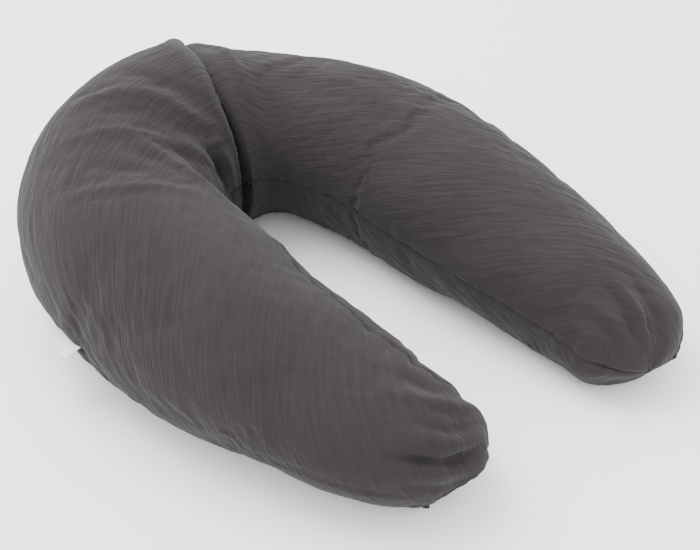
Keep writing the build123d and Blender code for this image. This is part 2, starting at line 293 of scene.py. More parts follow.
def seam_distance(points):
    """Distance of each point from the nearest edge of its panel, along the cloth."""
    across = np.linalg.norm(np.diff(points, axis=1), axis=-1)
    run = np.concatenate([np.zeros((len(points), 1)), np.cumsum(across, axis=1)], axis=1)
    to_side = np.minimum(run, run[:, -1:] - run)
    along = np.linalg.norm(np.diff(points, axis=0), axis=-1)
    climb = np.concatenate([np.zeros((1, points.shape[1])), np.cumsum(along, axis=0)], axis=0)
    to_end = np.minimum(climb, climb[-1:] - climb)
    return np.minimum(to_side, to_end)


def near_zip(points, distance):
    """1 where the zip holds the cloth in place, 0 away from it."""
    radial = np.hypot(points[..., 0] - ZIP_CENTRE[0], points[..., 1] - ZIP_CENTRE[1])
    level = np.abs(points[..., 2] - ZIP_CENTRE[2])
    on_back = smooth(-distance, ZIP_START - 0.035, ZIP_START - 0.015)
    on_back *= 1 - smooth(-distance, ZIP_END + 0.015, ZIP_END + 0.035)
    return on_back * (1 - smooth(level, 0.014, 0.030)) * smooth(radial, 0.24, 0.26)


# Folds of the cloth: height, half width, and the line they follow on the top panel, as
# (distance from the fold, place across the panel from -1 at the outer to 1 at the inner seam)
FOLDS = [
    (0.0035, 0.009, [(-0.150, -0.30), (-0.138, 0.00), (-0.123, 0.22), (-0.105, 0.42), (-0.064, 0.60)]),
    (-0.0030, 0.010, [(-0.110, -0.10), (-0.095, 0.22), (-0.070, 0.42)]),
    (0.0028, 0.008, [(-0.195, -0.25), (-0.195, 0.10), (-0.198, 0.33), (-0.183, 0.52), (-0.150, 0.70)]),
    (-0.0026, 0.010, [(-0.165, -0.10), (-0.160, 0.20), (-0.150, 0.45), (-0.120, 0.62)]),
    (0.0045, 0.010, [(-0.205, 0.10), (-0.225, 0.28), (-0.258, 0.44), (-0.295, 0.62), (-0.350, 0.74)]),
    (-0.0045, 0.012, [(-0.185, 0.30), (-0.215, 0.50), (-0.250, 0.68), (-0.290, 0.82)]),
    (0.0022, 0.007, [(-0.265, -0.15), (-0.285, 0.10), (-0.305, 0.25), (-0.331, 0.50)]),
    (-0.0020, 0.009, [(-0.245, -0.05), (-0.262, 0.18), (-0.285, 0.35)]),
    (-0.0080, 0.007, [(-0.131, 0.66), (-0.123, 0.72), (-0.116, 0.83), (-0.113, 0.94)]),
    (0.0070, 0.008, [(-0.084, 0.68), (-0.076, 0.80), (-0.082, 0.94)]),
    (0.0035, 0.008, [(0.030, -0.20), (0.034, 0.10), (0.050, 0.40), (0.075, 0.70)]),
    (-0.0060, 0.007, [(-0.640, 0.03), (-0.665, 0.05), (-0.685, 0.08), (-0.702, 0.12)]),
    (0.0040, 0.008, [(-0.640, 0.17), (-0.665, 0.20), (-0.690, 0.24), (-0.704, 0.28)]),
    (-0.0035, 0.006, [(-0.655, 0.32), (-0.680, 0.34), (-0.702, 0.38)]),
    (-0.0030, 0.006, [(-0.660, 0.48), (-0.680, 0.48), (-0.702, 0.50)]),
    (0.0040, 0.007, [(-0.620, 0.52), (-0.655, 0.56), (-0.683, 0.62), (-0.700, 0.68)]),
    (-0.0045, 0.009, [(-0.610, 0.66), (-0.650, 0.70), (-0.685, 0.76)]),
    (-0.0030, 0.007, [(-0.650, -0.20), (-0.680, -0.22), (-0.700, -0.26)]),
    (-0.0040, 0.006, [(0.615, 0.62), (0.640, 0.56), (0.660, 0.50)]),
    (0.0035, 0.006, [(0.600, 0.50), (0.630, 0.44), (0.660, 0.38)]),
    (-0.0045, 0.006, [(0.605, 0.30), (0.640, 0.28), (0.664, 0.26)]),
    (0.0040, 0.007, [(0.600, 0.16), (0.640, 0.14), (0.664, 0.12)]),
    (-0.0040, 0.007, [(0.600, 0.00), (0.640, -0.02), (0.664, -0.04)]),
    (0.0025, 0.012, [(0.060, -0.30), (0.150, -0.15), (0.260, -0.10)]),
    (-0.0025, 0.014, [(0.090, 0.20), (0.180, 0.25), (0.300, 0.20)]),
]
# Sharp tucks, as above, made after the cloth has settled
PLEATS = [
    (-0.0045, 0.0040, [(-0.640, 0.03), (-0.665, 0.05), (-0.685, 0.08), (-0.700, 0.12)]),
    (-0.0045, 0.0034, [(-0.131, 0.66), (-0.123, 0.72), (-0.116, 0.83), (-0.113, 0.94)]),
    (-0.0030, 0.0025, [(-0.131, 0.66), (-0.086, 0.70), (-0.030, 0.72)]),
    (0.0035, 0.0050, [(-0.125, 0.64), (-0.090, 0.66), (-0.040, 0.68)]),
    (-0.0025, 0.0030, [(0.630, 0.34), (0.650, 0.30), (0.664, 0.26)]),
    (-0.0025, 0.0030, [(0.630, 0.10), (0.650, 0.08), (0.664, 0.06)]),
]
# Fuller and flatter places: height, reach, distance from the fold, angle around in degrees
LUMPS = [
    (0.003, 0.040, -0.700, 70),
    (-0.005, 0.045, -0.660, 40),
    (-0.010, 0.045, -0.690, 178),
    (-0.009, 0.035, -0.690, -135),
    (-0.004, 0.070, -0.620, -165),
    (-0.004, 0.060, -0.530, -140),
    (0.003, 0.050, -0.400, -157),
    (-0.005, 0.050, -0.250, -165),
    (-0.005, 0.050, -0.360, 42),
    (-0.012, 0.055, -0.465, 42),
    (-0.005, 0.055, -0.550, 46),
    (-0.001, 0.035, -0.020, 110),
    (0.014, 0.024, 0.010, 124),
    (0.012, 0.045, 0.022, 75),
    (-0.010, 0.055, 0.080, -35),
    (-0.006, 0.060, 0.170, -35),
    (0.004, 0.070, 0.360, -30),
    (-0.016, 0.080, 0.120, 135),
    (-0.006, 0.090, 0.270, 135),
    (-0.005, 0.090, 0.400, 140),
    (-0.003, 0.070, 0.540, 140),
]


def nearest_distance(points, line):
    """Distance of each grid point from a line of 3D points."""
    best = np.full(points.shape[:2], 1e9)
    for start, end in zip(line[:-1], line[1:]):
        step = end - start
        t = np.clip((points - start) @ step / (step @ step), 0, 1)
        best = np.minimum(best, np.linalg.norm(points - start - t[..., None] * step, axis=-1))
    return best


def on_panel(panel, distance, cross):
    """Point of a panel at a distance from the fold and a place across it."""
    miss = (panel.distance - distance) ** 2 + (0.18 * (panel.cross - cross)) ** 2
    return panel.points.reshape(-1, 3)[np.argmin(miss)]


def along_lines(panel, folds):
    """Height of folds that follow lines on the top panel; each fades towards its ends."""
    out = np.zeros_like(panel.distance)
    for rise, reach, line in folds if panel.top else ():
        path = np.array([on_panel(panel, *place) for place in line])
        ends = [np.linalg.norm(panel.points - end, axis=-1) for end in (path[0], path[-1])]
        fade = 0.35 + 0.65 * smooth(np.minimum(*ends), 0, 0.030)
        out += rise * np.exp(-(nearest_distance(panel.points, path) / reach) ** 2) * fade
    return out


def big_shape(panel):
    """How far the cloth stands out of the plain tube, before it is simulated."""
    distance, angle = panel.distance, panel.angle
    out = along_lines(panel, FOLDS)
    for rise, reach, place, degrees in LUMPS:
        gap = np.remainder(angle - math.radians(degrees) + math.pi, 2 * math.pi) - math.pi
        span = (distance - place) ** 2 + (0.09 * gap) ** 2
        out += rise * np.exp(-span / reach**2) * smooth(to_tip(distance), 0, 0.020)
    # small puckers where the seam draws the cloth together
    pull = np.exp(-seam_distance(panel.points) / 0.022)
    outer_half = smooth(-panel.cross, -0.2, 0.2)
    uneven = np.where(distance < 0, 0.0030 - 0.0014 * outer_half, 0.0012)
    out += uneven * pull * noise(distance / 0.016, np.sign(panel.cross) * 2.0 + 0 * distance, 1)
    # slow unevenness of the filling
    out += 0.0030 * noise(distance / 0.09, angle / 0.8, 3)
    return out * (1 - near_zip(panel.points, distance))


upper, lower = Panel("cover_top", True), Panel("cover_bottom", False)
normals = shared_normals(upper.points, lower.points)
for panel, normal in zip((upper, lower), normals):
    moved = panel.points + normal * big_shape(panel)[..., None]
    moved[..., 2] = np.maximum(moved[..., 2], FLOOR_GAP)
    panel.points = moved


# =====================================================================================
# Cloth simulation
# =====================================================================================
def welded(upper_grid, lower_grid):
    """One closed mesh of both grids: its points, its faces and both index grids."""
    rows, columns = upper_grid.shape[:2]
    index_upper = np.arange(rows * columns).reshape(rows, columns)
    index_lower = np.full((rows, columns), -1)
    index_lower[0], index_lower[-1] = index_upper[0], index_upper[-1]
    index_lower[:, 0], index_lower[:, -1] = index_upper[:, 0], index_upper[:, -1]
    inner = (rows - 2) * (columns - 2)
    index_lower[1:-1, 1:-1] = rows * columns + np.arange(inner).reshape(rows - 2, columns - 2)
    points = np.concatenate([upper_grid.reshape(-1, 3), lower_grid[1:-1, 1:-1].reshape(-1, 3)])
    faces = np.concatenate([quads(index_upper), quads(index_lower)[:, ::-1]])
    return points, faces, index_upper, index_lower


def quads(index):
    corners = [index[:-1, :-1], index[:-1, 1:], index[1:, 1:], index[1:, :-1]]
    return np.stack(corners, axis=-1).reshape(-1, 4)


def new_object(name, points, faces, smooth_faces=True):
    mesh = bpy.data.meshes.new(name)
    mesh.from_pydata(points.tolist(), [], faces.tolist())
    mesh.polygons.foreach_set("use_smooth", [smooth_faces] * len(mesh.polygons))
    mesh.validate()
    mesh.update()
    obj = bpy.data.objects.new(name, mesh)
    bpy.context.scene.collection.objects.link(obj)
    return obj


def simulate(points, faces, rest, hold):
    """Points of the cloth after it has settled. hold is 1 where the cloth can't move."""
    obj = new_object("cloth_run", points, faces)
    obj.shape_key_add(name="Basis")
    key = obj.shape_key_add(name="cut")
    key.data.foreach_set("co", rest.ravel())
    group = obj.vertex_groups.new(name="hold")
    for level in np.unique(np.round(hold, 2)):
        members = np.nonzero(np.round(hold, 2) == level)[0]
        group.add(members.tolist(), float(level), "REPLACE")
    modifier = obj.modifiers.new("Cloth", "CLOTH")
    settings = modifier.settings
    settings.quality = 6
    settings.mass = 0.10
    settings.tension_stiffness = 12
    settings.compression_stiffness = 6
    settings.shear_stiffness = 3
    settings.bending_stiffness = 0.25
    settings.tension_damping = settings.compression_damping = settings.shear_damping = 8
    settings.air_damping = 3
    settings.shrink_min = -0.008
    settings.use_pressure = True
    settings.uniform_pressure_force = 1.0
    settings.vertex_group_mass = "hold"
    settings.pin_stiffness = 2.0
    settings.rest_shape_key = key
    settings.effector_weights.gravity = 0
    modifier.collision_settings.use_collision = False
    modifier.collision_settings.use_self_collision = False
    scene = bpy.context.scene
    modifier.point_cache.frame_start = 1
    modifier.point_cache.frame_end = SIM_FRAMES
    for number in range(1, SIM_FRAMES + 1):
        scene.frame_set(number)
    evaluated = obj.evaluated_get(bpy.context.evaluated_depsgraph_get())
    settled = np.empty(len(points) * 3)
    evaluated.data.vertices.foreach_get("co", settled)
    scene.frame_set(1)
    bpy.data.objects.remove(obj, do_unlink=True)
    return settled.reshape(-1, 3)


def settle():
    points, faces, index_upper, index_lower = welded(upper.points, lower.points)
    rest = welded(upper.rest, lower.rest)[0]
    hold = np.empty(len(points))
    for panel, index in ((upper, index_upper), (lower, index_lower)):
        grounded = 1 - smooth(panel.points[..., 2], 0.001, 0.006)
        in_fold = 1 - smooth(np.abs(panel.distance), 0.002, 0.012)
        bend = 0.25 * smooth(np.cos(panel.angle), 0.2, 0.8)
        bend *= 1 - smooth(np.abs(panel.distance), 0.10, 0.22)
        at_zip = near_zip(panel.points, panel.distance)
        hold[index] = np.clip(0.12 + bend + at_zip + grounded + in_fold, 0, 1)
    settled = simulate(points, faces, rest, hold)
    shift = settled - points
    size = np.linalg.norm(shift, axis=-1, keepdims=True)
    shift *= np.minimum(1, SIM_REACH / np.maximum(size, 1e-9))
    settled = points + shift
    settled[:, 2] = np.maximum(settled[:, 2], FLOOR_GAP)
    upper.points, lower.points = settled[index_upper], settled[index_lower]


settle()


# =====================================================================================
# Final surface: finer grid, crinkles, seams, the slot for the zip
# =====================================================================================
def finer(values):
    """Catmull-Rom interpolation of a grid, FINE cells for each one, in both directions."""
    for _ in range(2):
        values = np.swapaxes(values, 0, 1)
        first, last = 2 * values[:1] - values[1:2], 2 * values[-1:] - values[-2:-1]
        ghost = np.concatenate([first, values, last])
        p0, p1, p2, p3 = ghost[:-3], ghost[1:-2], ghost[2:-1], ghost[3:]
        parts = []
        for step in range(FINE):
            t = step / FINE
            square, cube = 2 * p0 - 5 * p1 + 4 * p2 - p3, 3 * p1 - p0 - 3 * p2 + p3
            parts.append(0.5 * (2 * p1 + (p2 - p0) * t + square * t**2 + cube * t**3))
        dense = np.stack(parts, axis=1).reshape(-1, *values.shape[1:])
        values = np.concatenate([dense, values[-1:]])
    return values


# grain of the cloth: its lines run along the pillow near the fold and slant across the arms
GRAIN_ARCS = {-1: [(0.45, 0.41), (0.60, 2.0)], 1: [(0.25, 0.32), (0.80, 1.2)]}
GRAIN_START = {-1: math.radians(-6), 1: math.radians(10)}


def grain(distance, around):
    """Coordinates in the flat cloth: along its crinkle lines, and across them."""
    along, over = np.empty_like(distance), np.empty_like(distance)
    for side in (-1, 1):
        here = (distance < 0) if side < 0 else (distance >= 0)
        arcs = GRAIN_ARCS[side]
        x, y, turned = path_point(arcs, np.abs(distance))
        flat_x = side * x - side * np.sin(turned) * around
        flat_y = y - np.cos(turned) * around
        turn = GRAIN_START[side]
        rotated_x = flat_x * math.cos(turn) - flat_y * math.sin(turn)
        rotated_y = flat_x * math.sin(turn) + flat_y * math.cos(turn)
        along = np.where(here, rotated_x, along)
        over = np.where(here, rotated_y, over)
    return along, over


def crinkles(along, over):
    """Height of the crinkles of double muslin, -1 to 1."""
    bend = over + 0.005 * noise(along / 0.05, over / 0.05, 11)
    lines = noise(bend / 0.0046, along / 0.045, 5)
    fine_lines = noise(bend / 0.0034, along / 0.022, 6)
    strength = 0.60 + 0.40 * noise(along / 0.06, over / 0.04, 7)
    weft = noise(along / 0.0055, over / 0.03, 8)
    return (0.75 * lines + 0.45 * fine_lines) * strength + 0.35 * weft * (1 - strength)


def finish_panels():
    for panel in (upper, lower):
        across = np.linalg.norm(np.diff(panel.points, axis=1), axis=-1)
        run = np.concatenate([np.zeros((len(across), 1)), np.cumsum(across, axis=1)], axis=1)
        panel.around = run - run[:, -1:] / 2
    for panel in (upper, lower):
        panel.points = finer(panel.points)
        for field in ("distance", "angle", "cross", "around"):
            setattr(panel, field, finer(getattr(panel, field)[..., None])[..., 0])
    both = shared_normals(upper.points, lower.points)
    for panel, normal in zip((upper, lower), both):
        seam = seam_distance(panel.points)
        panel.along, panel.over = grain(panel.distance, panel.around)
        free = 1 - near_zip(panel.points, panel.distance)
        above = smooth(panel.points[..., 2], 0.001, 0.010)
        out = CRINKLE_HEIGHT * crinkles(panel.along, panel.over)
        out *= smooth(seam, 0.001, 0.006) * (0.35 + 0.65 * free) * above
        out += along_lines(panel, PLEATS) * smooth(seam, 0.001, 0.008)
        out -= SEAM_GROOVE * np.exp(-(seam / SEAM_GROOVE_REACH) ** 2) * free
        shaped = panel.points + normal * out[..., None]
        # the two panels stand apart along the zip
        inside = smooth(-panel.distance, ZIP_START - 0.004, ZIP_START)
        inside *= 1 - smooth(-panel.distance, ZIP_END, ZIP_END + 0.004)
        radial = np.linalg.norm(shaped[..., :2] - ZIP_CENTRE[:2], axis=-1)
        outer_side = smooth(radial, 0.25, 0.26)
        level = np.abs(shaped[..., 2] - ZIP_CENTRE[2])
        opened = ZIP_OPENING / 2 * np.clip(1 - level / 0.022, 0, 1) * inside * outer_side
        shaped[..., 2] += opened * (1 if panel.top else -1)
        shaped[..., 2] = np.maximum(shaped[..., 2], 0.0003)
        panel.points, panel.normal = shaped, normal


coarse = {panel.top: panel.points.copy() for panel in (upper, lower)}
coarse_distance = {panel.top: panel.distance.copy() for panel in (upper, lower)}
finish_panels()


def boundary(index):
    """Indices around the edge of a grid, in order."""
    return np.concatenate([index[0, :-1], index[:-1, -1], index[-1, :0:-1], index[:0:-1, 0]])


def turned_in_panel(name, points, normal, top, allowance):
    """Mesh of a panel, with its edge turned in by a seam allowance. Returns it and the
    indices of its edge."""
    rows, columns = points.shape[:2]
    index = np.arange(rows * columns).reshape(rows, columns)
    edge = boundary(index)
    flat_points, flat_normal = points.reshape(-1, 3), normal.reshape(-1, 3)
    everything = np.concatenate([flat_points, flat_points[edge] - flat_normal[edge] * allowance])
    lip = rows * columns + np.arange(len(edge))
    strip = np.stack([edge, lip, np.roll(lip, -1), np.roll(edge, -1)], axis=-1)
    faces = np.concatenate([quads(index), strip])
    return new_object(name, everything, faces if top else faces[:, ::-1]), edge


def store(obj, values):
    """The cloth coordinates that the materials read."""
    layer = obj.data.attributes.new("cloth", "FLOAT_VECTOR", "POINT")
    layer.data.foreach_set("vector", values.astype(np.float32).ravel())


def panel_object(panel):
    obj, edge = turned_in_panel(
        panel.name, panel.points, panel.normal, panel.top, COVER_ALLOWANCE)
    pattern = np.stack([panel.along, panel.over, 0 * panel.over], axis=-1).reshape(-1, 3)
    store(obj, np.concatenate([pattern, pattern[edge]]))
    return obj


cover_top, cover_bottom = panel_object(upper), panel_object(lower)

# =====================================================================================
# Inner bag and filling: the cover's own surface, drawn in
# =====================================================================================
BAG_DEPTH, FILL_DEPTH = 0.0085, 0.0110
POCKET_EXTRA, FOLD_EXTRA, TIP_EXTRA = 0.0035, 0.0080, 0.0060
TIP_ROWS = CAP_ROWS + 5     # rows at each tip that are drawn in towards one point


def drawn_in(depth):
    """Both coarse grids, moved towards the middle of each section, further behind the zip,
    at the fold and at the tips."""
    middle = (coarse[True].mean(axis=1) + coarse[False].mean(axis=1)) / 2
    middle[:TIP_ROWS], middle[-TIP_ROWS:] = middle[TIP_ROWS], middle[-TIP_ROWS - 1]
    grids = []
    for top in (True, False):
        inward = middle[:, None] - coarse[top]
        inward /= np.linalg.norm(inward, axis=-1, keepdims=True)
        room = depth + POCKET_EXTRA * near_zip(coarse[top], coarse_distance[top])
        room += FOLD_EXTRA * (1 - smooth(np.abs(coarse_distance[top]), 0.004, 0.030))
        room += TIP_EXTRA * (1 - smooth(to_tip(coarse_distance[top]), 0.010, 0.060))
        grids.append(coarse[top] + inward * room[..., None])
    return grids


bag_grids = drawn_in(BAG_DEPTH)
bag_normals = shared_normals(*bag_grids)
bag_top, _ = turned_in_panel(
    "inner_bag_top", bag_grids[0], bag_normals[0], True, BAG_ALLOWANCE)
bag_bottom, _ = turned_in_panel(
    "inner_bag_bottom", bag_grids[1], bag_normals[1], False, BAG_ALLOWANCE)
fill_points, fill_faces, _, _ = welded(*drawn_in(FILL_DEPTH))
bead_fill = new_object("bead_fill", fill_points, fill_faces)

# =====================================================================================
# Zip, along the outside of the back
# =====================================================================================
TAPE_DEPTH, TAPE_WIDTH, TAPE_THICKNESS, TAPE_OVERRUN = 0.0039, 0.0115, 0.0006, 0.005
COIL_WIDTH, COIL_HEIGHT, HALF_TRACK, COIL_MARGIN = 0.0025, 0.0022, 0.0005, 0.006
TURN_PITCH, WIRE_RADIUS = 0.0015, 0.00036


def on_zip(distance, depth, level):
    """Points along the zip, at a distance from the fold, a depth below the cover and a level
    above the zip's middle."""
    angle = math.pi / 2 + FRAME_TURN + distance / BACK_RADIUS
    radius = ZIP_RADIUS - depth
    x, y = ZIP_CENTRE[0] + radius * np.cos(angle), ZIP_CENTRE[1] + radius * np.sin(angle)
    return np.stack([x, y, ZIP_CENTRE[2] + level + 0 * angle], axis=-1)


def tube(name, rings):
    """Mesh of rings of points, joined one to the next, with closed ends."""
    count, around = rings.shape[:2]
    index = np.arange(count * around).reshape(count, around)
    wrapped = np.concatenate([index, index[:, :1]], axis=1)
    mesh_faces = quads(wrapped).tolist() + [index[0].tolist(), index[-1][::-1].tolist()]
    mesh = bpy.data.meshes.new(name)
    mesh.from_pydata(rings.reshape(-1, 3).tolist(), [], mesh_faces)
    mesh.update()
    obj = bpy.data.objects.new(name, mesh)
    bpy.context.scene.collection.objects.link(obj)
    return obj


def zip_tape(name, sign):
    """Woven tape with a rib beside the coil and a rib at its edge."""
    distance = np.linspace(ZIP_START - TAPE_OVERRUN, ZIP_END + TAPE_OVERRUN, 160)[:, None]
    share = np.array([0, 0.02, 0.10, 0.28, 0.31, 0.36, 0.39, 0.90, 0.95, 1.0])
    swell = np.array([0, 0.1, 0, 0, 0.25, 0.25, 0, 0, 0.2, 0.1]) * 0.001
    level = sign * (HALF_TRACK + TAPE_WIDTH * share)
    front = on_zip(distance, TAPE_DEPTH - swell[None, :], level[None, :])
    back = on_zip(distance, TAPE_DEPTH + TAPE_THICKNESS + 0 * level[None, ::-1], level[None, ::-1])
    rings = np.concatenate([front, back], axis=1)
    return tube(name, rings if sign < 0 else rings[:, ::-1])


def zip_coil(name, sign):
    """Nylon coil: one wound wire."""
    start, end = ZIP_START + COIL_MARGIN, ZIP_END - COIL_MARGIN
    turns = round((end - start) * ZIP_RADIUS / BACK_RADIUS / TURN_PITCH)
    phase = np.linspace(0, 2 * math.pi * turns, 14 * turns + 1)
    distance = start + (end - start) * phase / phase[-1]
    mid_level, mid_depth = sign * (HALF_TRACK + COIL_WIDTH / 2), TAPE_DEPTH - COIL_HEIGHT / 2
    half_level, half_depth = COIL_WIDTH / 2 - WIRE_RADIUS, COIL_HEIGHT / 2 - WIRE_RADIUS
    sides = np.linspace(0, 2 * math.pi, 6, endpoint=False)[None, :]
    swing = phase[:, None]
    out_level = np.cos(swing) * (half_level + WIRE_RADIUS * np.cos(sides))
    out_depth = np.sin(swing) * (half_depth + WIRE_RADIUS * np.cos(sides))
    forward = WIRE_RADIUS * np.sin(sides) * BACK_RADIUS / ZIP_RADIUS
    rings = on_zip(distance[:, None] + forward, mid_depth + out_depth, mid_level + sign * out_level)
    return tube(name, rings if sign > 0 else rings[:, ::-1])


zip_pieces = {
    "zip_tape_upper": zip_tape("tape_upper", 1),
    "zip_tape_lower": zip_tape("tape_lower", -1),
    "zip_coil_upper": zip_coil("coil_upper", 1),
    "zip_coil_lower": zip_coil("coil_lower", -1),
}

# =====================================================================================
# Labels
# =====================================================================================
BRAND_LENGTH, BRAND_REACH, BRAND_THICKNESS, BRAND_PLACE = 0.046, 0.016, 0.0012, 0.300
BRAND_ROOT, BRAND_SHEET, BRAND_WAVE = 0.003, 0.00035, 0.0008
CARE_WIDTH, CARE_DROP, CARE_THICKNESS, CARE_PLACE = 0.028, 0.042, 0.0004, 0.190
CARE_CURL = 0.0006
STANDOFF = 0.0008           # the labels' clearance from the cover


def brand_label():
    """Folded woven label that stands out of the outer seam of the left arm."""
    place = np.array(BRAND_PLACE)
    roll = float(seam_roll(-1, place))
    wide, high = float(half_width(-1, place)), float(HALF_HEIGHT_SHARE * height(-1, place))
    centre = float(CENTRE_SHARE * height(-1, place))
    seam_across, seam_up = -wide * math.cos(roll), centre - high * math.sin(roll)
    half = BRAND_THICKNESS / 2
    bend = np.linspace(-math.pi / 2, math.pi / 2, 9)
    reach = BRAND_REACH - half
    loop = [(reach + half * math.cos(b), half * math.sin(b)) for b in bend]
    outer = [(-BRAND_ROOT, -half), *loop, (-BRAND_ROOT, half)]
    inner = [(x, y * (1 - BRAND_SHEET / half)) for x, y in outer[::-1]]
    standing, sideways = np.array(outer + inner).T
    middle = [placed(-1, np.full(1, BRAND_PLACE + step), np.zeros(1), np.zeros(1))
              for step in (0, 0.001)]
    ahead = (middle[1] - middle[0]) / np.linalg.norm(middle[1] - middle[0])
    rows = []
    for along in np.linspace(-BRAND_LENGTH / 2, BRAND_LENGTH / 2, 24):
        wave = BRAND_WAVE * math.sin(along / BRAND_LENGTH * 5)
        r, t = standing + STANDOFF, sideways + wave * standing / BRAND_REACH
        across = seam_across - math.cos(roll) * r + math.sin(roll) * t
        up = seam_up - math.sin(roll) * r - math.cos(roll) * t
        here = placed(-1, np.full(len(r), BRAND_PLACE), across, up)
        rows.append(here + ahead * along)
    return tube("label_brand", np.array(rows))


def care_label():
    """Thin label that hangs out of the seam below the zip."""
    angle = math.pi / 2 + FRAME_TURN + CARE_PLACE / BACK_RADIUS
    out = np.array([math.cos(angle), math.sin(angle), 0])
    side = np.array([-out[1], out[0], 0])
    top_middle = ZIP_CENTRE - (0, 0, ZIP_OPENING / 2) + out * (ZIP_RADIUS + STANDOFF)
    rows = []
    across = np.linspace(-CARE_WIDTH / 2, CARE_WIDTH / 2, 14)
    for drop in np.linspace(0, CARE_DROP, 22):
        share = drop / CARE_DROP
        curl = CARE_CURL * np.sin(across / CARE_WIDTH * 5 + 2 * share) * share
        front = top_middle + side * across[:, None] + out * (CARE_THICKNESS + curl)[:, None]
        front = front - (0, 0, drop)
        rows.append(np.concatenate([front, (front - out * CARE_THICKNESS)[::-1]]))
    return tube("label_care", np.array(rows))


brand_piece, care_piece = brand_label(), care_label()


# =====================================================================================
# Materials
# =====================================================================================
def simple_material(name, colour, roughness):
    material = bpy.data.materials.new(name)
    material.use_nodes = True
    shader = material.node_tree.nodes["Principled BSDF"]
    shader.inputs["Base Color"].default_value = (*colour, 1)
    shader.inputs["Roughness"].default_value = roughness
    return material


def muslin_material():
    material = simple_material("cover_muslin", (0.065, 0.060, 0.056), 0.95)
    nodes, links = material.node_tree.nodes, material.node_tree.links
    shader = nodes["Principled BSDF"]
    shader.inputs["Specular IOR Level"].default_value = 0.2
    shader.inputs["Sheen Weight"].default_value = 0.06
    shader.inputs["Sheen Roughness"].default_value = 0.5
    place = nodes.new("ShaderNodeAttribute")
    place.attribute_name = "cloth"

    def stretched(scale_along, scale_over, detail):
        mapping = nodes.new("ShaderNodeMapping")
        mapping.inputs["Scale"].default_value = (scale_along, scale_over, 1)
        texture = nodes.new("ShaderNodeTexNoise")
        texture.inputs["Scale"].default_value = 1
        texture.inputs["Detail"].default_value = detail
        links.new(place.outputs["Vector"], mapping.inputs["Vector"])
        links.new(mapping.outputs["Vector"], texture.inputs["Vector"])
        return texture.outputs["Fac"]

    crinkle = stretched(26, 300, 2)
    weft = stretched(330, 40, 1)
    patches = stretched(9, 14, 3)
    blend = nodes.new("ShaderNodeMix")
    blend.data_type = "FLOAT"
    blend.inputs["Factor"].default_value = 0.25
    links.new(crinkle, blend.inputs["A"])
    links.new(weft, blend.inputs["B"])
    bump = nodes.new("ShaderNodeBump")
    bump.inputs["Strength"].default_value = 1.0
    bump.inputs["Distance"].default_value = 0.0020
    links.new(blend.outputs["Result"], bump.inputs["Height"])
    links.new(bump.outputs["Normal"], shader.inputs["Normal"])
    # Base colour: slow random tone patches mixed half and half with the crinkle height, so the crinkle
    # valleys get painted shade and their ridges painted light
    ramp = nodes.new("ShaderNodeValToRGB")
    ramp.color_ramp.elements[0].position = 0.3
    ramp.color_ramp.elements[1].position = 0.7
    ramp.color_ramp.elements[0].color = (0.0175, 0.0155, 0.0150, 1)
    ramp.color_ramp.elements[1].color = (0.0260, 0.0232, 0.0225, 1)
    tone_and_crinkle_shade = nodes.new("ShaderNodeMix")
    tone_and_crinkle_shade.data_type = "FLOAT"
    tone_and_crinkle_shade.inputs["Factor"].default_value = 0.5
    links.new(patches, tone_and_crinkle_shade.inputs["A"])
    links.new(crinkle, tone_and_crinkle_shade.inputs["B"])
    links.new(tone_and_crinkle_shade.outputs["Result"], ramp.inputs["Fac"])
    links.new(ramp.outputs["Color"], shader.inputs["Base Color"])
    return material


def woven_material(name, colour, roughness, scale, depth, sheen=0.2):
    """Plain weave: two crossed sets of fine threads, with slightly uneven colour."""
    material = simple_material(name, colour, roughness)
    nodes, links = material.node_tree.nodes, material.node_tree.links
    shader = nodes["Principled BSDF"]
    shader.inputs["Sheen Weight"].default_value = sheen
    shader.inputs["Specular IOR Level"].default_value = 0.25
    place = nodes.new("ShaderNodeTexCoord")
    threads = []
    for direction in ("X", "Z"):
        wave = nodes.new("ShaderNodeTexWave")
        wave.bands_direction = direction
        wave.inputs["Scale"].default_value = scale
        wave.inputs["Distortion"].default_value = 0.6
        links.new(place.outputs["Object"], wave.inputs["Vector"])
        threads.append(wave.outputs["Fac"])
    both = nodes.new("ShaderNodeMath")
    both.operation = "MULTIPLY"
    links.new(threads[0], both.inputs[0])
    links.new(threads[1], both.inputs[1])
    bump = nodes.new("ShaderNodeBump")
    bump.inputs["Strength"].default_value = 0.5
    bump.inputs["Distance"].default_value = depth
    links.new(both.outputs["Value"], bump.inputs["Height"])
    links.new(bump.outputs["Normal"], shader.inputs["Normal"])
    tint(material, place.outputs["Object"], colour, 40)
    return material


def tint(material, vector, colour, scale):
    """Slow, slight variation of a base colour."""
    nodes, links = material.node_tree.nodes, material.node_tree.links
    texture = nodes.new("ShaderNodeTexNoise")
    texture.inputs["Scale"].default_value = scale
    texture.inputs["Detail"].default_value = 3
    links.new(vector, texture.inputs["Vector"])
    ramp = nodes.new("ShaderNodeValToRGB")
    ramp.color_ramp.elements[0].color = (*(0.90 * c for c in colour), 1)
    ramp.color_ramp.elements[1].color = (*(min(1, 1.06 * c) for c in colour), 1)
    links.new(texture.outputs["Fac"], ramp.inputs["Fac"])
    links.new(ramp.outputs["Color"], nodes["Principled BSDF"].inputs["Base Color"])


def solid_material(name, colour, roughness, metallic=0.0):
    """Moulded or painted finish with a faint orange-peel surface."""
    material = simple_material(name, colour, roughness)
    nodes, links = material.node_tree.nodes, material.node_tree.links
    nodes["Principled BSDF"].inputs["Metallic"].default_value = metallic
    place = nodes.new("ShaderNodeTexCoord")
    texture = nodes.new("ShaderNodeTexNoise")
    texture.inputs["Scale"].default_value = 900
    links.new(place.outputs["Object"], texture.inputs["Vector"])
    bump = nodes.new("ShaderNodeBump")
    bump.inputs["Strength"].default_value = 0.15
    bump.inputs["Distance"].default_value = 0.0002
    links.new(texture.outputs["Fac"], bump.inputs["Height"])
    links.new(bump.outputs["Normal"], nodes["Principled BSDF"].inputs["Normal"])
    tint(material, place.outputs["Object"], colour, 120)
    return material


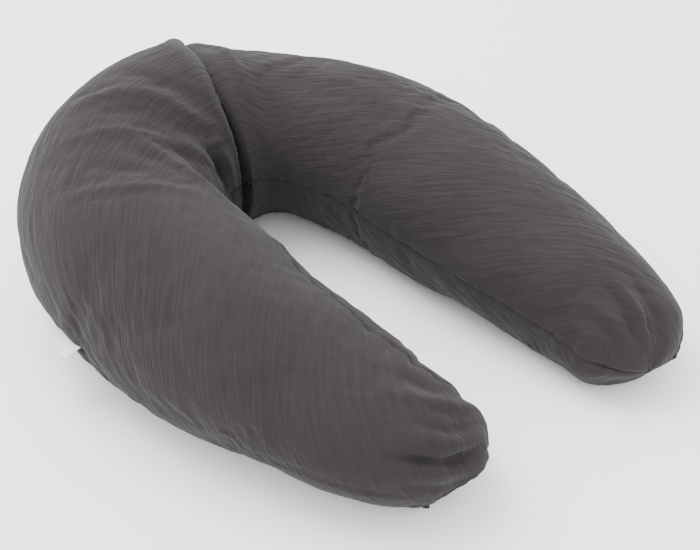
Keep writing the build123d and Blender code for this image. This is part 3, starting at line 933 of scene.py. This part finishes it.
def bead_material():
    colour = (0.80, 0.80, 0.79)
    material = simple_material("beads", colour, 0.6)
    nodes, links = material.node_tree.nodes, material.node_tree.links
    place = nodes.new("ShaderNodeTexCoord")
    cells = nodes.new("ShaderNodeTexVoronoi")
    cells.inputs["Scale"].default_value = 900
    links.new(place.outputs["Object"], cells.inputs["Vector"])
    bump = nodes.new("ShaderNodeBump")
    bump.invert = True
    bump.inputs["Distance"].default_value = 0.0008
    links.new(cells.outputs["Distance"], bump.inputs["Height"])
    links.new(bump.outputs["Normal"], nodes["Principled BSDF"].inputs["Normal"])
    tint(material, place.outputs["Object"], colour, 60)
    return material


MATERIALS = {
    "cover_muslin": muslin_material(),
    "bag_cotton": woven_material("bag_cotton", (0.70, 0.69, 0.66), 0.9, 500, 0.0003),
    "beads": bead_material(),
    "zip_tape": woven_material("zip_tape", (0.050, 0.047, 0.045), 0.85, 600, 0.0002),
    "zip_coil": solid_material("zip_coil", (0.055, 0.052, 0.050), 0.45),
    "zip_metal": solid_material("zip_metal", (0.060, 0.057, 0.055), 0.35, 0.5),
    "label_satin": woven_material("label_satin", (0.78, 0.78, 0.77), 0.6, 700, 0.0002, 0.1),
    "care_satin": woven_material("care_satin", (0.80, 0.80, 0.79), 0.5, 800, 0.0001, 0.1),
}


def hand_over(piece, slot, nodes, bends=False):
    """Gives a piece its material; with bends set it bakes the piece's place into its points, otherwise
    it attaches the piece to the left half's body; it hides the CAD nodes that the piece stands for.
    """
    piece.data.materials.append(MATERIALS[slot])
    if bends:
        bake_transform(piece)
    else:
        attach(piece, "left_half")
    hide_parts(*nodes)


for piece, slot, node in (
    (cover_top, "cover_muslin", "cover_top"), (cover_bottom, "cover_muslin", "cover_bottom"),
    (bag_top, "bag_cotton", "inner_bag_top"), (bag_bottom, "bag_cotton", "inner_bag_bottom"),
    (bead_fill, "beads", "bead_fill"),
):
    hand_over(piece, slot, (node + "_left", node + "_right"), bends=True)
for node, piece in zip_pieces.items():
    hand_over(piece, "zip_tape" if "tape" in node else "zip_coil", (node,))
hand_over(brand_piece, "label_satin", ("brand_label",))
hand_over(care_piece, "care_satin", ("care_label",))

for node, slot in (
    ("zip_slider", "zip_metal"), ("zip_pull_tab", "zip_metal"), ("zip_top_stop_upper", "zip_coil"),
    ("zip_top_stop_lower", "zip_coil"), ("zip_bottom_stop", "zip_coil"),
):
    shown = frame["nodes"][node]
    shown.data.materials.clear()
    shown.data.materials.append(MATERIALS[slot])

# =====================================================================================
# Floor, light and camera
# =====================================================================================
floor_corners = np.array([(-6, -6, 0), (6, -6, 0), (6, 6, 0), (-6, 6, 0)], float)
floor = new_object("floor", floor_corners, np.array([(0, 1, 2, 3)]), smooth_faces=False)
floor.data.materials.append(simple_material("floor_white", (0.95, 0.95, 0.95), 0.8))

world = bpy.data.worlds.new("studio")
world.use_nodes = True
world.node_tree.nodes["Background"].inputs["Color"].default_value = (1, 1, 1, 1)
world.node_tree.nodes["Background"].inputs["Strength"].default_value = 2.6
bpy.context.scene.world = world


def aim(obj, target):
    direction = Vector(target) - Vector(obj.location)
    obj.rotation_euler = direction.to_track_quat("-Z", "Y").to_euler()


def area_light(name, place, target, size, power):
    light = bpy.data.lights.new(name, "AREA")
    light.size = size
    light.energy = power
    obj = bpy.data.objects.new(name, light)
    bpy.context.scene.collection.objects.link(obj)
    obj.location = place
    aim(obj, target)


area_light("key", (-0.2, 1.2, 2.2), (0, 0, 0.1), 1.6, 75)

camera = bpy.data.objects.new("camera", bpy.data.cameras.new("camera"))
bpy.context.scene.collection.objects.link(camera)
camera.data.lens, camera.data.sensor_width = LENS, SENSOR
azimuth, elevation = math.radians(CAMERA_AZIMUTH), math.radians(CAMERA_ELEVATION)
camera.location = (
    CAMERA_TARGET[0] + CAMERA_DISTANCE * math.sin(azimuth) * math.cos(elevation),
    CAMERA_TARGET[1] - CAMERA_DISTANCE * math.cos(azimuth) * math.cos(elevation),
    CAMERA_TARGET[2] + CAMERA_DISTANCE * math.sin(elevation),
)
aim(camera, CAMERA_TARGET)
bpy.context.scene.camera = camera
